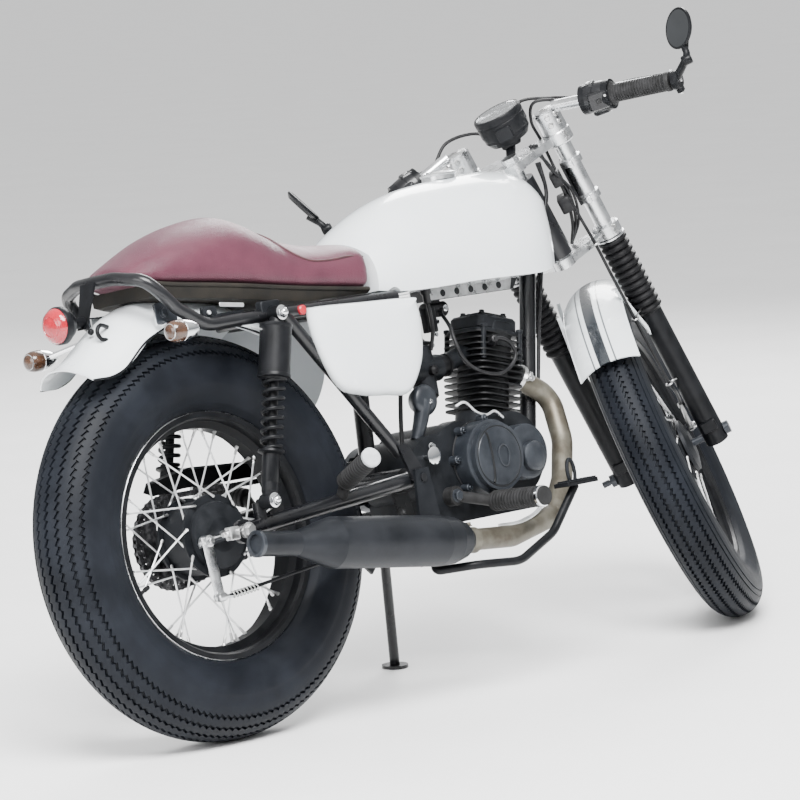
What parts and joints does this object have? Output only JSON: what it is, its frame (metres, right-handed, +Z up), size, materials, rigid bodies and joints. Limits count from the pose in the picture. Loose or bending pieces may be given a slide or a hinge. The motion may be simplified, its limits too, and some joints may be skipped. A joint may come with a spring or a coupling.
{
  "type": "cafe racer motorcycle",
  "caption": "Light cafe racer motorcycle on its side stand: finned single engine, humped seat, clip-on bars, wire wheels and a low muffler.",
  "frame": {"origin": "on the floor at the middle of the parked bike's bounding box", "axes": "+X towards the bike's front, +Y to its left, +Z up"},
  "size_m": [1.8538, 0.6622, 1.159],
  "materials": {
    "frame_paint": "gloss black enamel",
    "engine_black": "satin black",
    "engine_satin": "satin dark grey",
    "alloy": "satin",
    "header_steel": "heat stained",
    "black_steel": "satin black",
    "chrome": "polished",
    "tank_paint": "gloss white",
    "seat_leather": "padded dark burgundy",
    "red_lens": "clear red",
    "peg_rubber": "matt",
    "gaiter_rubber": "matt",
    "steel": "plated",
    "tyre": "matt black"
  },
  "bodies": {
    "chassis": {"carburettor": "alloy", "crankcase": "engine_black", "cylinder": "engine_black", "cylinder_head": "engine_black", "drive_chain": "steel", "engine_covers": "engine_satin", "exhaust_header": "header_steel", "foot_controls": "steel", "footpegs": "peg_rubber", "fuel_tank": "tank_paint", "main_frame": "frame_paint", "muffler": "black_steel", "rear_axle": "steel", "rear_brake_plate": "alloy", "rear_fender": "tank_paint", "rear_frame": "frame_paint", "rear_indicators": "chrome", "rear_shocks": "chrome", "seat": "seat_leather", "shock_springs": "frame_paint", "side_covers": "tank_paint", "stand_bracket": "frame_paint", "swingarm": "frame_paint", "tail_lamp": "red_lens", "tail_loop": "frame_paint", "tank_cap": "chrome"},
    "rear_wheel": {"rear_hub": "alloy", "rear_rim": "chrome", "rear_spokes": "steel", "rear_sprocket": "steel", "rear_tyre": "tyre"},
    "steering": {"fork_gaiters": "gaiter_rubber", "fork_sliders": "engine_satin", "fork_tubes": "chrome", "front_axle": "steel", "front_brake_plate": "alloy", "front_fender": "tank_paint", "gauge": "engine_satin", "grips": "peg_rubber", "hand_controls": "engine_satin", "handlebars": "engine_satin", "headlamp_bracket": "engine_satin", "mirrors": "engine_satin", "yokes": "alloy"},
    "front_wheel": {"front_hub": "alloy", "front_rim": "chrome", "front_spokes": "steel", "front_tyre": "tyre"},
    "side_stand": {"side_stand": "frame_paint"}
  },
  "joints": [
    {"name": "steering_turn", "type": "hinge", "parent": "chassis", "child": "steering", "pos_m": [0.32905, 0.0098, 0.85556], "axis": [-0.4258, 0.1629, 0.89], "range_deg": [-76.8, 0]},
    {"name": "front_wheel_spin", "type": "hinge", "parent": "steering", "child": "front_wheel", "pos_m": [0.64141, -0.04949, 0.31102], "axis": [-0.5628, 0.7225, -0.4015], "continuous": true},
    {"name": "rear_wheel_spin", "type": "hinge", "parent": "chassis", "child": "rear_wheel", "pos_m": [-0.58499, -0.08618, 0.33747], "axis": [-0.001, 0.9836, -0.1805], "continuous": true},
    {"name": "stand_swing", "type": "hinge", "parent": "chassis", "child": "side_stand", "pos_m": [-0.06556, 0.01435, 0.2288], "axis": [-0.0002, 0.975, 0.2221], "range_deg": [0, 97]}
  ]
}
